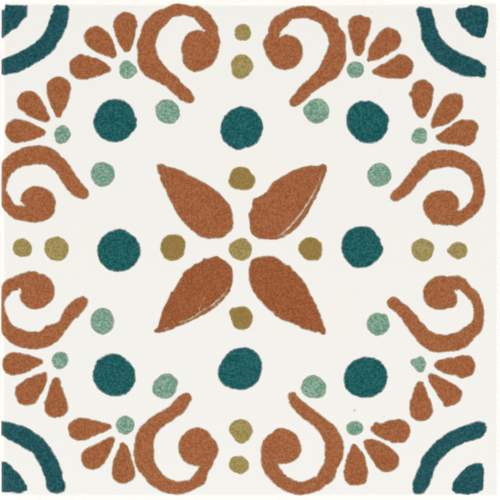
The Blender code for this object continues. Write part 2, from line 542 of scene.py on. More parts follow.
SCROLLS = [
    # Top left
    Mark(
        [(-11.5, 32.5, 1.35), (-13.1, 33.8, 1.4), (-14.4, 35.2, 1.55), (-15.8, 36.1, 1.6),
         (-17.0, 37.0, 1.85), (-18.0, 37.8, 2.15), (-19.0, 39.0, 2.3), (-19.4, 40.1, 2.2),
         (-19.6, 41.6, 1.97), (-19.8, 42.85, 1.9), (-19.35, 44.35, 1.75), (-18.95, 45.6, 1.83),
         (-18.3, 47.0, 1.85), (-17.3, 48.1, 1.8), (-16.5, 48.8, 1.7), (-15.6, 49.4, 1.4),
         (-14.65, 50.0, 1.27), (-12.8, 50.5, 1.35), (-11.65, 50.43, 1.1), (-9.9, 49.9, 1.15),
         (-9.0, 49.8, 1.3), (-7.75, 48.6, 1.55), (-6.95, 47.55, 1.4), (-6.15, 46.5, 1.42),
         (-6.1, 45.1, 1.55), (-5.85, 43.6, 1.65)],
        (-8.4, 42.2, 3.98), (-9.2, 40.2, 2.85), (-7.7, 40.2, 2.2), (-12.2, 32.2, 0.95),
        (-10.75, 31.75, 1.1),
        bare=[[(-9.0, 46.6, 0.25), (-7.6, 45.95, 0.12)]],
    ),
    # Top right
    Mark(
        [(11.4, 31.05, 1.03), (12.87, 32.25, 1.32), (14.12, 33.75, 1.37), (15.5, 34.7, 1.39),
         (16.2, 35.4, 1.6), (17.6, 36.5, 1.72), (18.8, 37.7, 2.15), (19.5, 38.9, 2.3), (20.1, 40.3, 2.2),
         (20.35, 41.6, 1.95), (20.57, 43.0, 1.73), (20.45, 44.4, 1.78), (19.7, 45.8, 1.55),
         (18.9, 47.2, 1.6), (18.0, 48.3, 1.4), (16.7, 49.1, 1.4), (14.9, 49.75, 1.4), (12.9, 49.85, 1.32),
         (11.4, 49.65, 1.25), (10.4, 49.3, 1.15), (9.4, 48.5, 1.35), (8.1, 47.5, 1.5), (7.4, 46.4, 1.28),
         (7.1, 45.1, 1.25), (6.6, 43.6, 1.5)],
        (9.5, 41.45, 3.7), (10.1, 42.1, 2.95), (7.0, 41.9, 1.8), (6.3, 43.0, 1.45), (19.9, 47.9, 0.8),
        bare=[[(8.33, 44.8, 0.12), (9.2, 45.3, 0.2)]],
    ),
    # Left, upper
    Mark(
        [(-32.95, 11.6, 1.15), (-33.75, 12.2, 1.5), (-34.7, 13.05, 1.6), (-35.75, 14.4, 1.6),
         (-36.7, 16.0, 1.6), (-37.7, 17.35, 1.65), (-39.05, 18.6, 1.67), (-40.05, 19.4, 1.8),
         (-41.2, 19.7, 2.0), (-42.8, 19.8, 2.0), (-44.85, 19.55, 1.97), (-46.4, 19.05, 1.8),
         (-47.85, 18.2, 1.67), (-49.05, 17.1, 1.62), (-50.15, 15.2, 1.5), (-50.6, 13.3, 1.45),
         (-50.55, 12.0, 1.35), (-49.8, 10.55, 1.45), (-48.4, 8.7, 1.2), (-46.9, 7.65, 1.45),
         (-45.0, 7.4, 1.55), (-43.4, 7.5, 2.0)],
        (-42.3, 9.6, 3.45), (-42.95, 10.1, 3.2), (-42.05, 8.95, 3.15),
        bare=[[(-46.6, 9.9, 0.3), (-45.5, 9.15, 0.15)]],
    ),
    # Left, lower
    Mark(
        [(-33.1, -11.05, 1.1), (-34.05, -11.95, 1.5), (-35.2, -13.1, 1.58), (-36.05, -14.1, 1.4),
         (-36.75, -15.25, 1.25), (-37.4, -16.1, 1.15), (-38.5, -17.2, 1.5), (-39.7, -17.85, 1.95),
         (-41.2, -18.9, 1.8), (-43.2, -19.25, 1.82), (-45.5, -19.0, 1.85), (-47.0, -18.4, 1.8),
         (-48.85, -17.05, 1.42), (-50.1, -15.3, 1.5), (-50.75, -13.3, 1.35), (-50.9, -11.8, 1.35),
         (-50.5, -10.5, 1.1), (-49.0, -8.05, 1.3), (-47.5, -7.3, 1.4), (-46.4, -6.75, 1.35),
         (-44.4, -6.4, 1.7)],
        (-42.65, -8.75, 3.65), (-43.05, -9.4, 3.3), (-43.6, -6.7, 1.95),
        bare=[[(-46.4, -9.3, 0.25), (-46.35, -8.4, 0.15)]],
    ),
    # Right, upper
    Mark(
        [(32.75, 11.1, 1.07), (33.9, 12.05, 1.22), (34.65, 12.6, 1.36), (35.5, 13.6, 1.43),
         (36.35, 14.8, 1.35), (37.15, 15.65, 1.5), (38.2, 16.8, 1.52), (39.0, 17.9, 1.6), (40.0, 18.4, 1.8),
         (41.1, 18.75, 1.9), (42.35, 18.95, 1.95), (43.95, 19.05, 1.8), (45.65, 18.75, 1.7),
         (47.3, 18.1, 1.6), (48.7, 17.05, 1.6), (49.6, 15.8, 1.4), (50.05, 14.2, 1.25), (50.3, 12.6, 1.22),
         (50.2, 10.9, 1.25), (49.55, 9.35, 1.3), (48.5, 8.15, 1.33), (47.05, 7.05, 1.3), (45.6, 6.5, 1.6),
         (43.5, 6.8, 1.8), (42.0, 6.9, 1.7)],
        (42.3, 8.85, 3.45), (42.95, 9.15, 3.27), (41.5, 9.1, 3.0), (40.85, 5.85, 0.6),
        bare=[[(46.9, 9.1, 0.2), (45.9, 8.3, 0.12)]],
    ),
    # Right, lower
    Mark(
        [(32.3, -11.4, 1.35), (33.55, -12.35, 1.2), (34.2, -12.95, 1.4), (35.15, -13.85, 1.45),
         (36.05, -15.05, 1.52), (36.75, -16.15, 1.5), (37.7, -17.15, 1.65), (38.65, -18.3, 1.7),
         (39.5, -19.0, 1.85), (40.4, -19.55, 1.95), (42.15, -19.9, 1.85), (43.8, -19.8, 1.85),
         (45.4, -19.55, 1.85), (46.8, -18.95, 1.8), (48.1, -17.75, 1.55), (49.3, -16.75, 1.45),
         (50.1, -15.5, 1.2), (50.3, -13.9, 1.1), (50.2, -12.35, 1.0), (49.7, -10.8, 1.05),
         (48.95, -9.65, 1.12), (47.75, -8.6, 1.0), (47.1, -7.65, 1.17), (46.0, -7.1, 1.45),
         (44.5, -7.4, 1.75)],
        (42.1, -9.2, 3.35), (42.6, -9.6, 3.05), (41.9, -9.45, 3.35), (42.2, -7.55, 2.0),
        (44.35, -11.1, 1.25),
        bare=[[(45.75, -9.4, 0.2), (45.35, -8.8, 0.15)]],
    ),
    # Bottom left
    Mark(
        [(-11.3, -31.3, 1.1), (-12.05, -32.05, 1.35), (-12.95, -33.3, 1.6), (-14.0, -34.1, 1.35),
         (-15.05, -34.95, 1.4), (-16.5, -35.8, 1.5), (-17.75, -36.8, 1.55), (-18.8, -37.75, 1.7),
         (-19.7, -39.0, 1.9), (-20.15, -40.75, 2.0), (-20.25, -42.3, 2.15), (-20.2, -43.9, 2.1),
         (-19.75, -45.5, 1.95), (-18.75, -47.0, 1.75), (-17.7, -48.35, 1.72), (-16.5, -49.2, 1.58),
         (-15.25, -49.9, 1.52), (-13.15, -50.3, 1.33), (-11.3, -50.0, 1.25), (-9.8, -49.35, 1.1),
         (-8.6, -48.4, 1.4), (-7.9, -47.1, 1.1), (-7.35, -45.7, 1.25), (-6.9, -44.0, 1.6)],
        (-9.15, -41.75, 3.85), (-8.9, -40.9, 3.25), (-7.5, -42.2, 2.95),
    ),
    # Bottom right
    Mark(
        [(11.0, -31.0, 0.93), (11.4, -31.95, 1.15), (12.05, -32.7, 1.27), (12.85, -33.3, 1.35),
         (13.7, -34.3, 1.33), (14.9, -35.1, 1.33), (16.2, -36.0, 1.42), (17.3, -37.1, 1.48),
         (18.4, -38.1, 1.7), (19.3, -39.55, 1.85), (19.8, -41.2, 2.0), (19.8, -43.0, 1.98),
         (19.6, -44.4, 1.72), (18.95, -45.85, 1.5), (18.4, -47.3, 1.75), (17.2, -48.7, 1.35),
         (15.8, -49.6, 1.5), (14.5, -50.1, 1.4), (12.5, -50.4, 1.42), (10.75, -49.9, 1.4),
         (9.15, -49.1, 1.4), (7.9, -48.05, 1.45), (7.1, -47.0, 1.6), (6.35, -45.8, 1.65),
         (6.1, -44.2, 1.65), (6.4, -42.6, 1.9)],
        (9.05, -41.6, 3.65), (8.7, -39.9, 2.2), (9.9, -42.0, 2.95), (7.7, -41.9, 3.2),
    ),
]

# The four leaves of the star; where the brush ran dry along a side it left a pale line
LEAVES = [
    Mark(
        [(-17.15, 17.35, 0.42), (-16.35, 16.6, 1.03), (-15.45, 15.85, 1.43), (-14.7, 15.1, 2.1),
         (-13.3, 13.85, 2.77), (-11.4, 11.85, 3.67), (-9.57, 10.07, 4.43), (-8.0, 8.45, 4.8),
         (-6.3, 6.9, 4.72)],
        (-16.4, 17.5, 0.4), (-3.6, 5.2, 2.2), (-4.2, 3.7, 1.5), tint=0.75,
    ),
    Mark(
        patch=[(17.5, 17.95), (16.9, 17.7), (16.4, 17.45), (15.0, 17.65), (13.0, 17.25), (11.0, 16.5),
               (9.0, 15.4), (7.7, 14.6), (6.8, 13.95), (6.3, 13.25), (5.8, 12.2), (5.1, 11.65),
               (4.0, 11.05), (3.0, 10.65), (2.5, 9.8), (2.55, 8.6), (1.7, 7.3), (2.0, 6.2), (2.05, 4.4),
               (2.6, 3.0), (3.8, 2.1), (5.5, 2.05), (7.6, 1.95), (9.3, 2.55), (10.8, 3.5), (12.4, 4.9),
               (13.8, 6.75), (15.2, 9.4), (16.35, 11.6), (17.0, 13.0), (17.85, 15.5), (18.3, 16.6),
               (18.2, 17.5)],
        bare=[[(17.2, 16.4, -0.2), (16.85, 15.0, -0.17), (16.35, 13.6, -0.12), (15.2, 11.2, -0.03),
               (13.95, 9.2, 0.02), (12.8, 7.5, 0.03), (11.4, 5.75, 0.03), (10.0, 4.2, 0.03),
               (9.0, 3.35, 0.0), (8.0, 2.75, -0.08)]],
        tint=0.75,
    ),
    Mark(
        patch=[(-18.15, -17.3), (-17.9, -17.0), (-17.4, -16.6), (-17.05, -15.6), (-16.8, -14.6),
               (-16.05, -12.4), (-15.5, -11.4), (-14.75, -9.6), (-14.55, -9.15), (-14.0, -8.7),
               (-13.5, -7.8), (-12.3, -5.9), (-11.95, -4.95), (-11.2, -4.4), (-10.3, -3.9), (-9.6, -3.25),
               (-8.7, -2.85), (-8.1, -2.55), (-7.7, -1.9), (-6.6, -1.9), (-5.7, -1.55), (-5.1, -1.4),
               (-4.6, -1.55), (-3.8, -2.15), (-2.9, -2.7), (-2.2, -3.3), (-1.75, -3.9), (-1.4, -5.6),
               (-1.5, -6.8), (-2.1, -8.7), (-3.15, -10.3), (-4.65, -11.75), (-6.5, -13.25), (-9.0, -14.5),
               (-10.9, -15.5), (-13.1, -16.3), (-14.0, -16.75), (-15.5, -17.3), (-17.2, -17.75),
               (-17.9, -17.7)],
        bare=[[(-2.5, -7.9, -0.18), (-3.2, -9.1, -0.12), (-3.7, -9.8, -0.08), (-4.8, -10.8, -0.03),
               (-5.5, -11.5, -0.03), (-6.5, -12.15, -0.1), (-7.4, -12.7, -0.04), (-8.3, -13.2, -0.08),
               (-9.7, -14.25, -0.06), (-10.9, -14.85, -0.06), (-12.8, -15.4, -0.12)],
              [(-7.4, -10.3, -0.15), (-8.1, -11.5, -0.15), (-8.7, -12.7, -0.12)],
              [(-15.2, -16.6, -0.12), (-15.8, -16.75, -0.1)]],
        tint=0.1,
    ),
    Mark(
        [(17.5, -17.45, 0.55), (17.0, -16.8, 0.9), (16.15, -16.05, 1.45), (14.75, -14.8, 2.35),
         (13.55, -13.55, 2.95), (12.15, -12.25, 3.65), (10.95, -11.1, 4.25), (9.85, -9.8, 4.62),
         (8.45, -8.4, 4.78), (6.85, -6.9, 4.52), (5.85, -5.5, 4.05)],
        (4.2, -3.9, 2.25), (9.9, -4.3, 0.95), (8.2, -13.3, 1.0), tint=0.1,
    ),
]

# Three petals fan out each way from the small dots near each corner; each runs from tip to bulb
PETALS = [
    # Top left
    Mark([(-23.85, 42.45, 0.95), (-24.05, 44.3, 1.77), (-24.2, 46.8, 2.43), (-24.05, 47.5, 2.38)]),
    Mark([(-26.9, 41.1, 0.95), (-28.15, 42.5, 1.75), (-29.5, 43.85, 2.4), (-30.45, 44.5, 2.4)]),
    Mark([(-27.9, 37.9, 0.75), (-30.2, 38.2, 1.78), (-33.25, 38.3, 2.7)]),
    Mark([(-38.25, 28.45, 0.72), (-38.15, 30.4, 1.5), (-38.2, 31.9, 2.15), (-38.2, 33.7, 2.6)]),
    Mark([(-40.85, 27.5, 0.85), (-42.35, 28.8, 1.6), (-43.55, 30.05, 2.2), (-44.5, 30.95, 2.38)]),
    Mark([(-41.7, 24.5, 0.8), (-43.6, 24.6, 1.6), (-45.85, 24.8, 2.33), (-46.9, 24.85, 2.52)]),
    # Top right
    Mark(
        [(24.9, 41.55, 0.9), (24.98, 42.5, 1.3), (24.9, 44.0, 1.55), (24.97, 45.2, 1.9),
         (25.05, 46.5, 2.4)],
        (25.2, 47.5, 1.82), (26.65, 47.9, 1.0), (24.25, 47.85, 1.2),
        bare=[[(23.45, 46.3, 0.0)]],
    ),
    Mark(
        [(27.15, 39.85, 0.38), (27.95, 40.65, 0.95), (28.65, 41.5, 1.7), (29.8, 42.6, 2.05),
         (30.9, 43.8, 2.4), (31.35, 44.05, 2.55)],
    ),
    Mark(
        [(28.2, 37.35, 0.4), (28.9, 37.4, 0.8), (30.1, 37.5, 1.35), (31.4, 37.65, 1.75), (32.9, 38.05, 2.2),
         (33.9, 38.42, 2.55)],
    ),
    Mark(
        [(38.15, 27.95, 0.4), (38.25, 28.7, 1.05), (38.3, 29.5, 1.55), (38.28, 30.5, 1.9),
         (38.35, 31.5, 2.15), (38.4, 33.3, 2.35)],
        (36.3, 32.6, 0.68),
    ),
    Mark(
        [(40.65, 25.8, 0.4), (41.1, 26.45, 0.87), (42.0, 27.3, 1.47), (43.1, 28.4, 2.03),
         (43.95, 29.5, 2.33), (44.65, 30.45, 2.3)],
        (45.75, 31.55, 1.12),
    ),
    Mark(
        [(41.75, 23.5, 0.55), (42.75, 23.5, 1.12), (44.1, 23.8, 1.7), (45.6, 24.2, 2.15),
         (47.0, 24.5, 2.73)],
        (48.6, 25.7, 1.57), (47.5, 23.75, 2.05),
    ),
    # Bottom left
    Mark(
        [(-24.65, -41.35, 0.6), (-24.45, -42.1, 0.95), (-24.6, -43.2, 1.45), (-24.6, -44.2, 1.75),
         (-24.65, -45.3, 2.1), (-24.6, -46.4, 2.35), (-24.55, -46.95, 2.42)],
        (-25.4, -47.7, 1.35), (-23.6, -47.5, 1.45),
    ),
    Mark(
        [(-26.95, -40.1, 0.58), (-27.45, -40.65, 1.05), (-28.3, -41.6, 1.4), (-29.4, -42.75, 1.85),
         (-30.45, -43.65, 2.3), (-31.0, -44.0, 2.45)],
    ),
    Mark(
        [(-27.7, -37.45, 0.65), (-28.4, -37.5, 0.9), (-29.3, -37.6, 1.15), (-30.3, -37.55, 1.4),
         (-31.5, -37.75, 1.9), (-33.0, -37.85, 2.35), (-33.8, -38.0, 2.4)],
    ),
    Mark(
        [(-38.6, -28.0, 0.95), (-38.85, -29.0, 1.15), (-38.75, -30.0, 1.5), (-38.75, -31.0, 1.85),
         (-38.75, -32.0, 2.2), (-38.65, -33.15, 2.35)],
        (-40.5, -32.4, 0.7), (-39.3, -33.7, 1.75), (-37.7, -33.7, 1.35),
    ),
    Mark(
        [(-41.12, -26.4, 0.53), (-41.62, -27.05, 0.97), (-42.2, -27.8, 1.52), (-43.25, -28.82, 2.03),
         (-44.2, -29.55, 2.35), (-44.82, -30.45, 2.53)],
        (-46.55, -29.3, 0.75),
    ),
    Mark(
        [(-42.0, -23.75, 0.52), (-43.0, -23.8, 1.0), (-44.4, -23.9, 1.5), (-45.8, -24.1, 2.15),
         (-47.7, -24.15, 2.4)],
        (-48.1, -25.2, 1.2),
    ),
    # Bottom right
    Mark(
        [(24.05, -41.55, 0.55), (24.15, -42.2, 0.92), (24.3, -43.1, 1.35), (24.35, -44.2, 1.9),
         (24.4, -45.5, 2.25), (24.35, -46.95, 2.55)],
        (23.65, -48.2, 1.5), (25.15, -48.25, 1.5),
    ),
    Mark(
        [(26.65, -40.7, 0.68), (27.15, -41.15, 1.07), (28.0, -41.65, 1.58), (29.25, -42.7, 2.15),
         (30.2, -43.7, 2.35), (31.0, -44.45, 2.48)],
        (29.5, -45.3, 0.9),
    ),
    Mark(
        [(28.1, -37.9, 0.65), (28.9, -38.0, 1.13), (30.0, -38.15, 1.5), (31.4, -38.3, 2.08),
         (33.4, -38.3, 2.43)],
        (28.8, -37.1, 0.64), (32.4, -39.9, 0.98), (34.15, -39.6, 1.1),
    ),
    Mark(
        [(37.85, -28.95, 0.85), (37.9, -29.75, 1.25), (37.9, -30.65, 1.6), (37.9, -31.45, 1.85),
         (37.95, -32.4, 2.2), (38.05, -33.4, 2.38), (38.1, -33.9, 2.36)],
        (37.6, -28.4, 0.4), (38.25, -28.3, 0.4), (37.3, -34.6, 1.35), (39.05, -34.25, 1.4),
    ),
    Mark(
        [(40.2, -26.85, 0.68), (40.7, -27.45, 1.0), (41.72, -28.3, 1.43), (42.77, -29.2, 1.8),
         (43.75, -30.25, 2.15), (44.45, -30.65, 2.23)],
        (43.6, -32.55, 0.75), (44.4, -31.9, 0.95),
    ),
    Mark(
        [(41.3, -24.45, 0.45), (41.85, -24.5, 0.85), (42.7, -24.5, 1.3), (44.0, -24.62, 1.73),
         (45.4, -24.73, 1.85), (46.6, -24.6, 2.2), (47.2, -24.7, 2.35)],
        (47.9, -23.75, 1.3), (47.7, -25.4, 1.2), (46.8, -26.1, 1.05),
    ),
]

# Each corner has a quarter disc and an arc round it; on the left they run over the tile's edge
CORNER_ARCS = [
    Mark(
        [(-37.65, 49.9, 1.6), (-37.75, 49.3, 1.7), (-38.1, 48.2, 1.9), (-38.85, 46.15, 1.9),
         (-39.95, 44.25, 1.8), (-41.1, 42.65, 1.95), (-43.35, 41.1, 1.85), (-45.5, 39.9, 1.9),
         (-47.2, 39.05, 1.85), (-48.75, 38.6, 1.74), (-50.1, 38.3, 1.65), (-51.4, 38.1, 1.5)],
        [(-38.5, 50.4, 0.85), (-36.85, 50.5, 0.85)],
        top=51.4,
    ),
    Mark(
        [(38.95, 49.3, 1.5), (39.3, 48.3, 1.6), (39.5, 47.3, 1.62), (39.7, 46.4, 1.6), (39.95, 45.3, 1.85),
         (40.25, 44.3, 1.9), (40.95, 43.0, 1.9), (42.25, 41.6, 2.0), (44.15, 40.15, 2.03),
         (45.8, 39.17, 2.08), (47.3, 38.57, 2.13), (48.8, 38.2, 1.98), (50.2, 37.75, 1.5)],
        (38.0, 50.1, 0.88), (39.55, 49.9, 0.85), (42.95, 40.85, 2.1), (50.85, 38.0, 0.88),
        (50.85, 36.9, 0.85),
    ),
    Mark(
        [(-51.4, -37.5, 1.5), (-49.0, -38.05, 1.6), (-47.95, -38.45, 1.8), (-46.05, -39.25, 2.0),
         (-44.2, -40.3, 1.95), (-42.45, -41.55, 1.9), (-41.35, -43.1, 1.85), (-40.25, -44.95, 1.85),
         (-39.7, -46.35, 1.87), (-39.2, -47.9, 1.85), (-38.85, -49.25, 1.8), (-38.35, -49.85, 1.6)],
        (-39.35, -49.85, 1.45),
    ),
    Mark(
        [(50.8, -37.6, 1.15), (50.0, -37.95, 1.67), (49.0, -38.45, 1.78), (47.1, -39.0, 1.7),
         (45.55, -39.65, 1.7), (43.9, -40.6, 1.7), (42.9, -41.3, 1.7), (41.85, -42.35, 1.7),
         (40.65, -43.6, 1.68), (39.85, -44.9, 1.7), (39.25, -46.35, 1.63), (38.65, -48.05, 1.65),
         (38.05, -49.3, 1.68), (37.6, -50.4, 1.22)],
        (50.6, -39.0, 0.65), (37.1, -50.8, 0.8), (38.2, -50.7, 0.75),
    ),
]

CORNER_DISCS = [
    Mark(
        patch=[(-44.7, 51.35), (-44.72, 50.4), (-44.9, 49.05), (-46.0, 47.8), (-47.0, 46.5), (-48.1, 46.0),
               (-48.9, 45.3), (-49.8, 44.5), (-51.6, 44.3), (-51.6, 50.6), (-50.0, 50.4), (-49.55, 50.3),
               (-49.4, 51.4)],
    ),
    Mark(
        patch=[(45.85, 50.65), (45.4, 50.1), (45.5, 48.55), (46.65, 46.85), (48.65, 44.95), (50.0, 44.5),
               (51.35, 44.4), (51.75, 45.3), (52.2, 47.0), (52.35, 49.0), (52.05, 50.65), (50.4, 51.2),
               (48.5, 51.4), (47.6, 50.9)],
    ),
    Mark(
        patch=[(-51.6, -44.8), (-49.4, -44.75), (-48.4, -45.35), (-47.75, -46.35), (-46.5, -47.35),
               (-45.55, -48.7), (-44.8, -49.95), (-44.85, -50.8), (-45.5, -51.15), (-46.4, -51.5),
               (-47.9, -51.2), (-49.7, -51.2), (-51.6, -51.1)],
    ),
    Mark(
        patch=[(50.9, -45.05), (51.3, -46.2), (51.35, -48.4), (51.1, -50.6), (49.85, -51.45), (48.4, -51.6),
               (47.0, -51.65), (45.4, -51.5), (44.6, -50.7), (44.85, -49.5), (44.85, -49.1), (46.1, -47.4),
               (48.0, -45.65), (49.6, -45.1)],
    ),
]

TEAL_DOTS = [
    Mark((0.45, 25.65, 4.32), (-0.35, 25.0, 3.75), (0.8, 25.1, 3.75), (-0.5, 22.25, 1.45)),
    Mark(
        (-26.2, 27.4, 4.15), (-26.3, 26.65, 4.13), (-27.0, 26.65, 3.83), (-22.75, 27.0, 0.95),
        (-22.9, 25.9, 1.1),
    ),
    Mark((26.4, 27.22, 4.02), (27.1, 26.4, 4.12), (30.05, 27.3, 1.35)),
    Mark((-25.7, -0.4, 4.33), (-25.5, -1.25, 3.5), (-24.9, -0.4, 3.93), (-25.2, 2.0, 2.25)),
    Mark(
        (25.4, 0.8, 4.03), (25.5, -0.05, 3.9), (26.6, 0.2, 3.2), (28.2, -0.1, 1.9), (28.0, 1.5, 1.5),
        (26.6, 2.7, 1.95), (24.4, -2.4, 1.5),
    ),
    Mark((-26.1, -26.95, 4.1), (-26.75, -26.5, 4.2), (-26.8, -25.3, 3.3), (-29.4, -24.15, 1.0)),
    Mark((26.7, -27.0, 4.27), (27.2, -26.8, 3.8), (25.6, -27.2, 3.8), (24.45, -28.5, 2.2)),
    Mark(
        (0.35, -25.2, 4.15), (0.7, -24.5, 3.85), (0.4, -25.85, 3.7), (-0.45, -25.75, 3.87),
        (-1.6, -26.0, 3.05), (0.0, -24.95, 3.95),
    ),
]

MINT_DOTS = [
    Mark((-15.5, 29.15, 2.3), (-15.05, 28.75, 2.4)),
    Mark((16.2, 29.1, 2.6), (14.5, 29.1, 1.2)),
    Mark((-28.85, 15.75, 2.5), (-29.35, 16.2, 1.95), (-28.9, 15.0, 1.85)),
    Mark((29.3, 15.75, 2.35), (29.0, 15.3, 2.15), (29.8, 15.4, 2.0)),
    Mark((-29.05, -14.85, 2.4), (-28.95, -15.6, 2.35)),
    Mark((29.0, -15.8, 2.3), (30.3, -14.5, 0.85), (30.5, -16.0, 0.95), (29.3, -16.4, 1.75)),
    Mark((-15.5, -28.2, 2.05), (-16.45, -29.3, 2.0), (-15.75, -29.1, 2.35), (-14.2, -28.1, 1.05)),
    Mark((15.35, -28.95, 2.35), (14.6, -29.3, 1.75), (16.3, -29.6, 1.8), (16.5, -28.9, 1.5)),
    Mark((-23.7, 37.5, 1.65), (-23.75, 38.35, 1.25), (-22.7, 37.6, 1.0), (-24.3, 38.7, 0.9)),
    Mark((-37.4, 24.5, 1.5), (-37.5, 23.8, 1.55), (-36.7, 24.2, 1.0), (-37.9, 22.9, 0.8)),
    Mark((24.3, 37.75, 1.78)),
    Mark((38.1, 24.3, 1.2), (38.2, 23.2, 1.1), (37.2, 23.4, 1.15), (37.6, 24.4, 1.05)),
    Mark((-38.1, -23.2, 1.4), (-37.65, -23.0, 1.4), (-37.9, -23.65, 1.6)),
    Mark((-24.15, -37.05, 1.92)),
    Mark((23.75, -37.7, 1.35), (24.55, -37.6, 1.35), (24.15, -38.25, 1.05)),
    Mark(
        (37.9, -23.4, 0.8), (36.55, -23.8, 0.75), (38.2, -24.2, 0.97), (37.5, -24.2, 1.1),
        (37.95, -24.9, 0.95), (37.7, -25.3, 0.5),
    ),
]

# The tint runs from the green mix, thin and dry, to the brown mix of the ring round the star
OLIVE_DOTS = [
    Mark((0.2, 15.0, 2.35), (-0.75, 14.3, 1.7), (0.9, 14.3, 1.95), (1.4, 14.4, 1.85), tint=1.0),
    Mark((-14.2, 0.6, 2.5), (-14.1, 0.0, 2.5), (-13.1, 1.3, 1.6), tint=1.0),
    Mark((14.8, 0.15, 2.3), (15.0, -0.05, 2.35), (13.7, 0.1, 1.45), (16.0, -1.3, 1.05), tint=1.0),
    Mark((0.35, -14.35, 2.3), (-1.4, -13.3, 0.95), (0.45, -15.0, 2.05), tint=1.0),
    Mark(
        (0.1, 0.0, 2.1), (-0.6, -0.1, 1.8), (0.9, 0.2, 1.6), (0.35, -0.3, 2.1), (0.6, 1.4, 0.95), tint=0.25,
    ),
    Mark((0.6, 45.75, 1.6), (0.95, 45.3, 1.4), (0.1, 46.0, 1.15), (-0.1, 44.9, 0.95), tint=0.2),
    Mark((0.35, 38.8, 2.2), (0.75, 38.4, 1.95), (0.0, 37.65, 1.85), tint=0.1),
    Mark((-45.95, 0.3, 1.9), (-45.5, 0.05, 1.72), tint=0.2),
    Mark((-38.6, 0.15, 2.45), (-38.85, -0.1, 2.3), (-38.3, -0.15, 2.2), (-39.95, 1.3, 0.95), tint=0.1),
    Mark((38.25, -0.1, 2.25), (38.5, -0.4, 2.15), (39.3, 0.3, 1.5), tint=0.1),
    Mark((45.95, -0.2, 1.75), (45.2, -0.3, 1.25), (46.3, -0.4, 1.55), (44.15, -0.35, 0.55), tint=0.1),
    Mark((0.25, -38.0, 2.2), (0.6, -38.4, 2.0), (-0.6, -37.95, 1.75), (0.2, -39.3, 1.62), tint=0.1),
    Mark((-0.3, -45.4, 1.75), (0.15, -45.55, 1.7), (-0.75, -45.4, 1.5), (-1.2, -44.6, 0.85), tint=0.2),
]


# Materials

# How much brighter than its own reflectance a surface looks under the studio light, and what its
# gloss adds to that
LIGHT_LEVEL = 1.12
GLOSS_ADDS = 0.005


def fired(red, green, blue):
    """The reflectance of a surface that looks this colour, of 255, under the studio light."""
    colour = []
    for channel in (red, green, blue):
        share = channel / 255
        linear = share / 12.92 if share <= 0.04045 else ((share + 0.055) / 1.055) ** 2.4
        colour.append(min(max(linear - GLOSS_ADDS, 0.001) / LIGHT_LEVEL, 0.95))
    return (*colour, 1.0)


class Finish:
    """A node material built up coat by coat; sizes are in millimetres."""

    def __init__(self, name, roughness, gloss=0.5):
        self.material = bpy.data.materials.new(name)
        self.material.use_nodes = True
        self.nodes = self.material.node_tree.nodes
        self.links = self.material.node_tree.links
        self.shader = self.nodes["Principled BSDF"]
        self.shader.inputs["Roughness"].default_value = roughness
        self.shader.inputs["Specular IOR Level"].default_value = gloss
        self.place = self.nodes.new("ShaderNodeTexCoord").outputs["Object"]

    def connect(self, source, socket):
        if isinstance(source, bpy.types.NodeSocket):
            self.links.new(source, socket)
        else:
            socket.default_value = source

    def noise(self, size, detail):
        """Noise from 0 to 1, with grains about `size` mm across."""
        node = self.nodes.new("ShaderNodeTexNoise")
        node.inputs["Scale"].default_value = 1 / (size * MM)
        node.inputs["Detail"].default_value = detail
        self.links.new(self.place, node.inputs["Vector"])
        return node.outputs["Fac"]

    def spots(self, size, low, high):
        """Round spots from 0 to 1 on a mesh about `size` mm wide, full inside `low` mm."""
        node = self.nodes.new("ShaderNodeTexVoronoi")
        node.inputs["Scale"].default_value = 1 / (size * MM)
        self.links.new(self.place, node.inputs["Vector"])
        return self.ramp(node.outputs["Distance"], high / size, low / size)

    def attribute(self, name):
        node = self.nodes.new("ShaderNodeAttribute")
        node.attribute_name = name
        return node.outputs["Fac"]

    def ramp(self, value, low, high, to_low=0.0, to_high=1.0):
        """The value's range low to high, brought smoothly to another range."""
        node = self.nodes.new("ShaderNodeMapRange")
        node.interpolation_type = "SMOOTHSTEP"
        self.connect(value, node.inputs["Value"])
        node.inputs["From Min"].default_value = low
        node.inputs["From Max"].default_value = high
        node.inputs["To Min"].default_value = to_low
        node.inputs["To Max"].default_value = to_high
        return node.outputs["Result"]

    def math(self, operation, first, second):
        node = self.nodes.new("ShaderNodeMath")
        node.operation = operation
        self.connect(first, node.inputs[0])
        self.connect(second, node.inputs[1])
        return node.outputs["Value"]

    def mixed(self, share, first, second):
        """The second colour over the first, by share."""
        node = self.nodes.new("ShaderNodeMix")
        node.data_type = "RGBA"
        colours = [socket for socket in node.inputs if socket.type == "RGBA"]
        self.connect(share, node.inputs[0])
        self.connect(first, colours[0])
        self.connect(second, colours[1])
        return next(socket for socket in node.outputs if socket.type == "RGBA")

    def colour(self, source):
        self.links.new(source, self.shader.inputs["Base Color"])

    def bump(self, height, strength, depth):
        node = self.nodes.new("ShaderNodeBump")
        node.inputs["Strength"].default_value = strength
        node.inputs["Distance"].default_value = depth * MM
        self.links.new(height, node.inputs["Height"])
        self.links.new(node.outputs["Normal"], self.shader.inputs["Normal"])


GLAZE_WHITE = fired(245, 242, 236)

# Specks of iron that came up through the glaze: where, how large and how strong
IRON_SPECKS = (
    (24.1, -33.95, 0.26, 0.75),
    (28.0, 49.9, 0.2, 0.3),
    (29.4, 33.4, 0.18, 0.25),
    (30.3, -35.2, 0.18, 0.25),
)
SPECK_BLUR = 0.15


